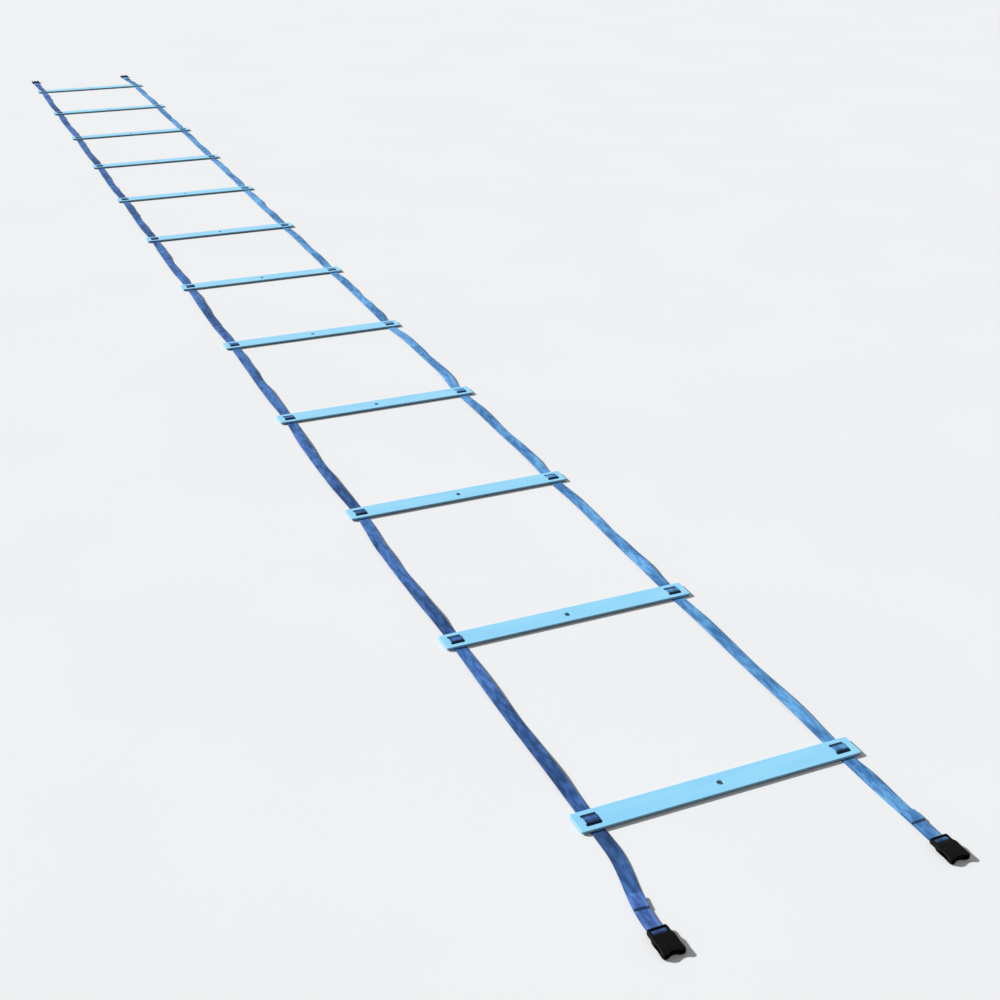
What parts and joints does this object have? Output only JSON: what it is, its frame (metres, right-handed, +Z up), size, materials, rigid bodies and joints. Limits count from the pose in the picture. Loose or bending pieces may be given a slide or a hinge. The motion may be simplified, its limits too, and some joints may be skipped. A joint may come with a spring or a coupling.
{
  "type": "agility ladder",
  "caption": "Flat training ladder for footwork drills: plastic slats woven onto two webbing straps, with side-release buckle halves at the strap ends.",
  "frame": {"origin": "middle of the ladder's footprint, on the surface that it lies on", "axes": "+Y along the ladder from the end with the sockets to the end with the plugs, +X across it to the right, +Z up"},
  "size_m": [0.4772, 6.0338, 0.0095],
  "materials": {
    "rung_blue": "sky blue moulded plastic with a satin shine",
    "webbing_blue": "dark blue woven polypropylene webbing",
    "buckle_black": "black moulded acetal with a fine satin grain"
  },
  "bodies": {
    "bay_01": {"left_strap_01": "webbing_blue", "right_strap_01": "webbing_blue"},
    "rung_01": {"rung_01": "rung_blue"},
    "bay_02": {"left_strap_02": "webbing_blue", "right_strap_02": "webbing_blue"},
    "rung_02": {"rung_02": "rung_blue"},
    "bay_03": {"left_strap_03": "webbing_blue", "right_strap_03": "webbing_blue"},
    "rung_03": {"rung_03": "rung_blue"},
    "bay_04": {"left_strap_04": "webbing_blue", "right_strap_04": "webbing_blue"},
    "rung_04": {"rung_04": "rung_blue"},
    "bay_05": {"left_strap_05": "webbing_blue", "right_strap_05": "webbing_blue"},
    "rung_05": {"rung_05": "rung_blue"},
    "bay_06": {"left_strap_06": "webbing_blue", "right_strap_06": "webbing_blue"},
    "rung_06": {"rung_06": "rung_blue"},
    "bay_07": {"left_strap_07": "webbing_blue", "right_strap_07": "webbing_blue"},
    "rung_07": {"rung_07": "rung_blue"},
    "bay_08": {"left_strap_08": "webbing_blue", "right_strap_08": "webbing_blue"},
    "rung_08": {"rung_08": "rung_blue"},
    "bay_09": {"left_strap_09": "webbing_blue", "right_strap_09": "webbing_blue"},
    "rung_09": {"rung_09": "rung_blue"},
    "bay_10": {"left_strap_10": "webbing_blue", "right_strap_10": "webbing_blue"},
    "rung_10": {"rung_10": "rung_blue"},
    "bay_11": {"left_strap_11": "webbing_blue", "right_strap_11": "webbing_blue"},
    "rung_11": {"rung_11": "rung_blue"},
    "bay_12": {"left_strap_12": "webbing_blue", "right_strap_12": "webbing_blue"},
    "rung_12": {"rung_12": "rung_blue"},
    "near_left_socket": {"near_left_socket": "buckle_black"},
    "near_right_socket": {"near_right_socket": "buckle_black"},
    "far_left_plug": {"far_left_plug": "buckle_black"},
    "far_left_plug_left_arm": {"far_left_plug_left_arm": "buckle_black"},
    "far_left_plug_right_arm": {"far_left_plug_right_arm": "buckle_black"},
    "far_right_plug": {"far_right_plug": "buckle_black"},
    "far_right_plug_left_arm": {"far_right_plug_left_arm": "buckle_black"},
    "far_right_plug_right_arm": {"far_right_plug_right_arm": "buckle_black"}
  },
  "joints": [
    {"name": "fold_01", "type": "hinge", "parent": "bay_02", "child": "bay_01", "pos_m": [0, -2.5005, 0.00075], "axis": [1, 0, 0], "range_deg": [-165, 165], "deforming": ["left_strap_01", "right_strap_01", "left_strap_02", "right_strap_02"]},
    {"name": "fold_02", "type": "hinge", "parent": "bay_03", "child": "bay_02", "pos_m": [0, -2.0005, 0.00075], "axis": [-1, 0, 0], "range_deg": [-165, 165], "deforming": ["left_strap_02", "right_strap_02", "left_strap_03", "right_strap_03"]},
    {"name": "fold_03", "type": "hinge", "parent": "bay_04", "child": "bay_03", "pos_m": [0, -1.5005, 0.00075], "axis": [1, 0, 0], "range_deg": [-165, 165], "deforming": ["left_strap_03", "right_strap_03", "left_strap_04", "right_strap_04"]},
    {"name": "fold_04", "type": "hinge", "parent": "bay_05", "child": "bay_04", "pos_m": [0, -1.0005, 0.00075], "axis": [-1, 0, 0], "range_deg": [-165, 165], "deforming": ["left_strap_04", "right_strap_04", "left_strap_05", "right_strap_05"]},
    {"name": "fold_05", "type": "hinge", "parent": "bay_06", "child": "bay_05", "pos_m": [0, -0.5005, 0.00075], "axis": [1, 0, 0], "range_deg": [-165, 165], "deforming": ["left_strap_05", "right_strap_05", "left_strap_06", "right_strap_06"]},
    {"name": "fold_06", "type": "hinge", "parent": "bay_06", "child": "bay_07", "pos_m": [0, -0.0005, 0.00075], "axis": [1, 0, 0], "range_deg": [-165, 165], "deforming": ["left_strap_06", "right_strap_06", "left_strap_07", "right_strap_07"]},
    {"name": "fold_07", "type": "hinge", "parent": "bay_07", "child": "bay_08", "pos_m": [0, 0.4995, 0.00075], "axis": [-1, 0, 0], "range_deg": [-165, 165], "deforming": ["left_strap_07", "right_strap_07", "left_strap_08", "right_strap_08"]},
    {"name": "fold_08", "type": "hinge", "parent": "bay_08", "child": "bay_09", "pos_m": [0, 0.9995, 0.00075], "axis": [1, 0, 0], "range_deg": [-165, 165], "deforming": ["left_strap_08", "right_strap_08", "left_strap_09", "right_strap_09"]},
    {"name": "fold_09", "type": "hinge", "parent": "bay_09", "child": "bay_10", "pos_m": [0, 1.4995, 0.00075], "axis": [-1, 0, 0], "range_deg": [-165, 165], "deforming": ["left_strap_09", "right_strap_09", "left_strap_10", "right_strap_10"]},
    {"name": "fold_10", "type": "hinge", "parent": "bay_10", "child": "bay_11", "pos_m": [0, 1.9995, 0.00075], "axis": [1, 0, 0], "range_deg": [-165, 165], "deforming": ["left_strap_10", "right_strap_10", "left_strap_11", "right_strap_11"]},
    {"name": "fold_11", "type": "hinge", "parent": "bay_11", "child": "bay_12", "pos_m": [0, 2.4995, 0.00075], "axis": [-1, 0, 0], "range_deg": [-165, 165], "deforming": ["left_strap_11", "right_strap_11", "left_strap_12", "right_strap_12"]},
    {"name": "rung_01_slide", "type": "slide", "parent": "bay_01", "child": "rung_01", "axis": [0, 1, 0], "range_m": [-0.08, 0.14], "deforming": ["left_strap_01", "right_strap_01"]},
    {"name": "rung_02_slide", "type": "slide", "parent": "bay_02", "child": "rung_02", "axis": [0, 1, 0], "range_m": [-0.14, 0.14], "deforming": ["left_strap_02", "right_strap_02"]},
    {"name": "rung_03_slide", "type": "slide", "parent": "bay_03", "child": "rung_03", "axis": [0, 1, 0], "range_m": [-0.14, 0.14], "deforming": ["left_strap_03", "right_strap_03"]},
    {"name": "rung_04_slide", "type": "slide", "parent": "bay_04", "child": "rung_04", "axis": [0, 1, 0], "range_m": [-0.14, 0.14], "deforming": ["left_strap_04", "right_strap_04"]},
    {"name": "rung_05_slide", "type": "slide", "parent": "bay_05", "child": "rung_05", "axis": [0, 1, 0], "range_m": [-0.14, 0.14], "deforming": ["left_strap_05", "right_strap_05"]},
    {"name": "rung_06_slide", "type": "slide", "parent": "bay_06", "child": "rung_06", "axis": [0, 1, 0], "range_m": [-0.14, 0.14], "deforming": ["left_strap_06", "right_strap_06"]},
    {"name": "rung_07_slide", "type": "slide", "parent": "bay_07", "child": "rung_07", "axis": [0, 1, 0], "range_m": [-0.14, 0.14], "deforming": ["left_strap_07", "right_strap_07"]},
    {"name": "rung_08_slide", "type": "slide", "parent": "bay_08", "child": "rung_08", "axis": [0, 1, 0], "range_m": [-0.14, 0.14], "deforming": ["left_strap_08", "right_strap_08"]},
    {"name": "rung_09_slide", "type": "slide", "parent": "bay_09", "child": "rung_09", "axis": [0, 1, 0], "range_m": [-0.14, 0.14], "deforming": ["left_strap_09", "right_strap_09"]},
    {"name": "rung_10_slide", "type": "slide", "parent": "bay_10", "child": "rung_10", "axis": [0, 1, 0], "range_m": [-0.14, 0.14], "deforming": ["left_strap_10", "right_strap_10"]},
    {"name": "rung_11_slide", "type": "slide", "parent": "bay_11", "child": "rung_11", "axis": [0, 1, 0], "range_m": [-0.14, 0.14], "deforming": ["left_strap_11", "right_strap_11"]},
    {"name": "rung_12_slide", "type": "slide", "parent": "bay_12", "child": "rung_12", "axis": [0, 1, 0], "range_m": [-0.14, 0.08], "deforming": ["left_strap_12", "right_strap_12"]},
    {"name": "near_left_socket_swivel", "type": "hinge", "parent": "bay_01", "child": "near_left_socket", "pos_m": [-0.2219, -2.9785, 0.00475], "axis": [1, 0, 0], "range_deg": [0, 90]},
    {"name": "near_right_socket_swivel", "type": "hinge", "parent": "bay_01", "child": "near_right_socket", "pos_m": [0.2181, -2.9785, 0.00475], "axis": [1, 0, 0], "range_deg": [0, 90]},
    {"name": "far_left_plug_swivel", "type": "hinge", "parent": "bay_12", "child": "far_left_plug", "pos_m": [-0.2059, 2.9775, 0.0041], "axis": [-1, 0, 0], "range_deg": [0, 90]},
    {"name": "far_right_plug_swivel", "type": "hinge", "parent": "bay_12", "child": "far_right_plug", "pos_m": [0.2041, 2.9775, 0.0041], "axis": [-1, 0, 0], "range_deg": [0, 90]},
    {"name": "far_left_plug_left_arm_squeeze", "type": "hinge", "parent": "far_left_plug", "child": "far_left_plug_left_arm", "pos_m": [-0.2178, 2.9869, 0.0041], "axis": [0, 0, -1], "range_deg": [0, 8], "stiffness_Nm_per_rad": 0.8},
    {"name": "far_left_plug_right_arm_squeeze", "type": "hinge", "parent": "far_left_plug", "child": "far_left_plug_right_arm", "pos_m": [-0.194, 2.9869, 0.0041], "axis": [0, 0, 1], "range_deg": [0, 8], "stiffness_Nm_per_rad": 0.8},
    {"name": "far_right_plug_left_arm_squeeze", "type": "hinge", "parent": "far_right_plug", "child": "far_right_plug_left_arm", "pos_m": [0.1922, 2.9869, 0.0041], "axis": [0, 0, -1], "range_deg": [0, 8], "stiffness_Nm_per_rad": 0.8},
    {"name": "far_right_plug_right_arm_squeeze", "type": "hinge", "parent": "far_right_plug", "child": "far_right_plug_right_arm", "pos_m": [0.216, 2.9869, 0.0041], "axis": [0, 0, 1], "range_deg": [0, 8], "stiffness_Nm_per_rad": 0.8}
  ]
}
